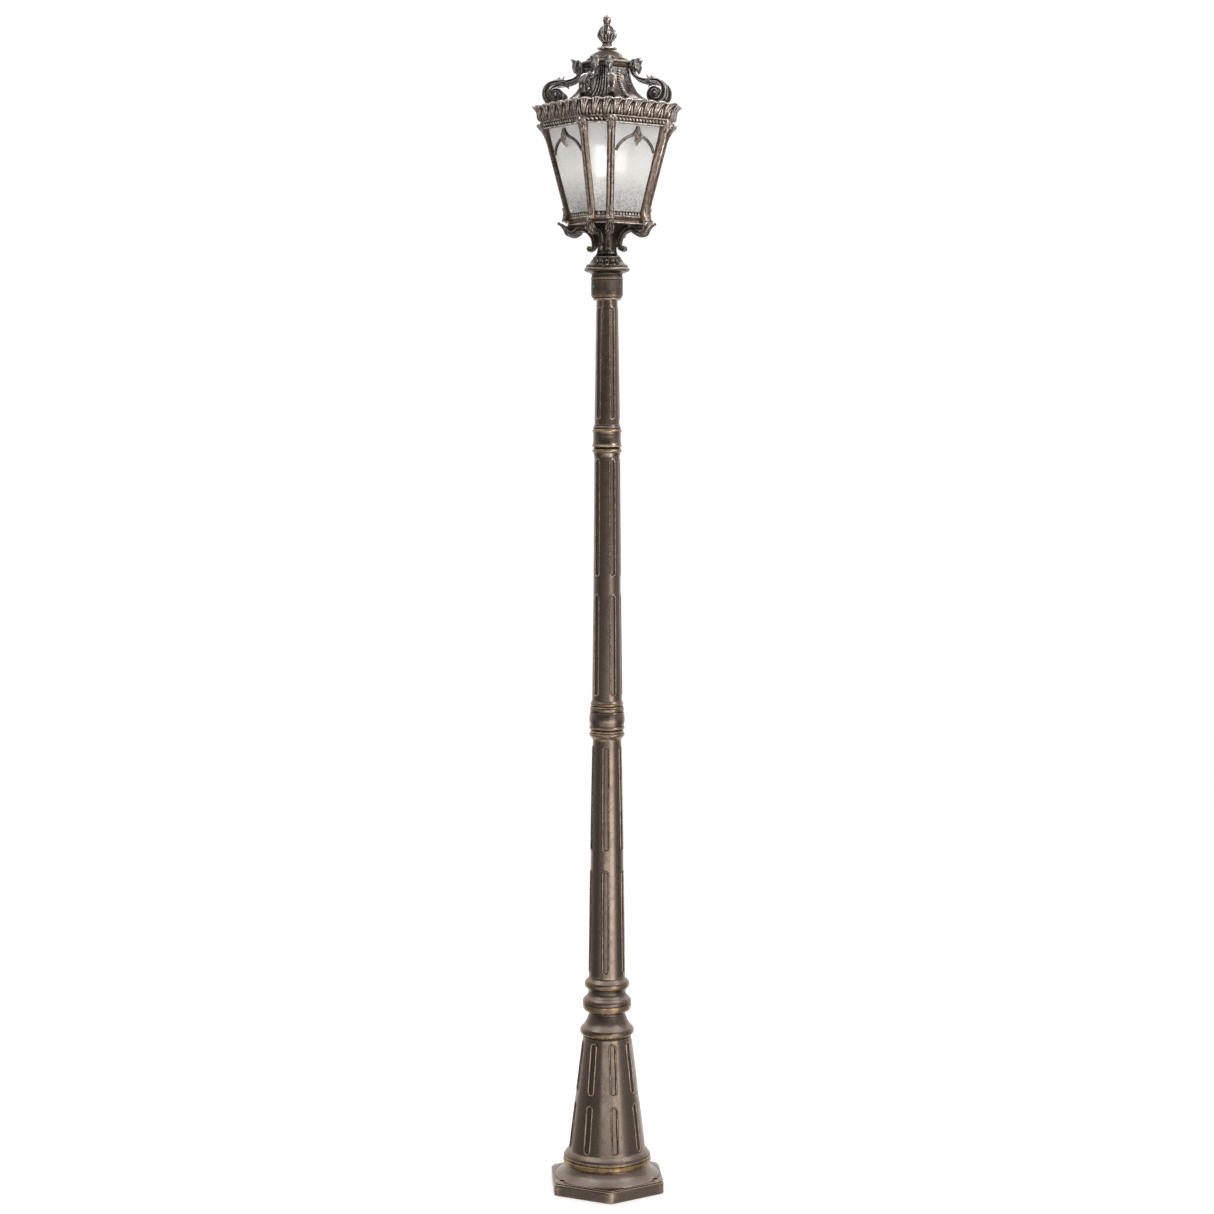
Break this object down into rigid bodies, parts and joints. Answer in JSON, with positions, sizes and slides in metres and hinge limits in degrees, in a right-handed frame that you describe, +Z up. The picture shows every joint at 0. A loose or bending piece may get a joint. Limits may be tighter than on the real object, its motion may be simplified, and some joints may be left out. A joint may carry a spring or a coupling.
{
  "type": "street lamp",
  "caption": "Post-top street lamp: fluted cast post on a hexagonal foot carrying an eight-sided glazed lantern with scrolled roof, finial and candle cluster.",
  "frame": {"origin": "centre of the foot's underside, on the ground", "axes": "+Z up the post, front (the side with the front foot corner) faces -Y"},
  "size_m": [0.395, 0.395, 3.12],
  "materials": {
    "post_bronze": "semi-gloss taupe-bronze paint over cast aluminium, tooling marks, darker in recesses",
    "gilt": "gilded bronze paint rubbed on raised mouldings",
    "lantern_bronze": "antique dark bronze with copper rub-through on raised edges",
    "seeded_glass": "light seeded glass, slightly milky",
    "steel": "plain machined steel",
    "seal": "black sealing rubber",
    "candle": "ivory candle sleeve",
    "holder": "white lampholder body",
    "lamp_glass": "frosted lamp glass, lit"
  },
  "bodies": {
    "root": {"foot": "post_bronze", "foot_ring": "gilt", "pedestal": "post_bronze", "pedestal_coupling": "steel", "pedestal_collar": "post_bronze", "lower_shaft": "post_bronze", "lower_coupling": "steel", "lower_collar": "post_bronze", "middle_shaft": "post_bronze", "upper_coupling": "steel", "upper_collar": "post_bronze", "upper_shaft": "post_bronze", "post_top_rim": "gilt", "post_top_tenon": "steel"},
    "lantern": {"fitter": "lantern_bronze", "grub_screws": "steel", "neck_cup": "lantern_bronze", "neck_hub": "lantern_bronze", "leg_consoles": "lantern_bronze", "tray": "lantern_bronze", "tray_band": "lantern_bronze", "corner_post_1": "lantern_bronze", "corner_post_2": "lantern_bronze", "corner_post_3": "lantern_bronze", "corner_post_4": "lantern_bronze", "corner_post_5": "lantern_bronze", "corner_post_6": "lantern_bronze", "corner_post_7": "lantern_bronze", "corner_post_8": "lantern_bronze", "post_capitals": "lantern_bronze", "wide_pane_1": "seeded_glass", "wide_pane_2": "seeded_glass", "wide_pane_3": "seeded_glass", "wide_pane_4": "seeded_glass", "narrow_pane_1": "seeded_glass", "narrow_pane_2": "seeded_glass", "narrow_pane_3": "seeded_glass", "narrow_pane_4": "seeded_glass", "tracery_arches": "lantern_bronze", "top_frame": "lantern_bronze", "leaf_gallery": "lantern_bronze", "lamp_stem": "gilt", "lamp_cluster": "gilt", "candle_cups": "gilt", "candle_sleeves": "candle", "lampholders": "holder", "threaded_rod": "steel"},
    "roof": {"roof_shell": "lantern_bronze", "rope_ribs": "lantern_bronze", "hip_scrolls": "lantern_bronze", "roof_cap": "lantern_bronze"},
    "finial_seal": {"finial_washer": "seal"},
    "finial": {"finial": "gilt"},
    "bulb_1": {"bulb_1": "lamp_glass"},
    "bulb_2": {"bulb_2": "lamp_glass"},
    "bulb_3": {"bulb_3": "lamp_glass"},
    "bulb_4": {"bulb_4": "lamp_glass"}
  },
  "joints": [
    {"name": "lantern_turn", "type": "hinge", "parent": "root", "child": "lantern", "pos_m": [0, 0, 2.415], "axis": [0, 0, 1], "continuous": true},
    {"name": "roof_lift", "type": "slide", "parent": "lantern", "child": "roof", "axis": [0, 0, 1], "range_m": [0, 0.25]},
    {"name": "finial_rise", "type": "slide", "parent": "roof", "child": "finial_seal", "axis": [0, 0, 1], "range_m": [0, 0.0151]},
    {"name": "finial_turn", "type": "hinge", "parent": "finial_seal", "child": "finial", "pos_m": [0, 0, 3.05], "axis": [0, 0, 1], "range_deg": [0, 3600]},
    {"name": "bulb_1_out", "type": "slide", "parent": "lantern", "child": "bulb_1", "axis": [0, 0, 1], "range_m": [0, 0.02]},
    {"name": "bulb_2_out", "type": "slide", "parent": "lantern", "child": "bulb_2", "axis": [0, 0, 1], "range_m": [0, 0.02]},
    {"name": "bulb_3_out", "type": "slide", "parent": "lantern", "child": "bulb_3", "axis": [0, 0, 1], "range_m": [0, 0.02]},
    {"name": "bulb_4_out", "type": "slide", "parent": "lantern", "child": "bulb_4", "axis": [0, 0, 1], "range_m": [0, 0.02]}
  ],
  "couplings": [
    {"joint": "finial_rise", "follows": "finial_turn", "m_per_rad": 0.00023873}
  ]
}
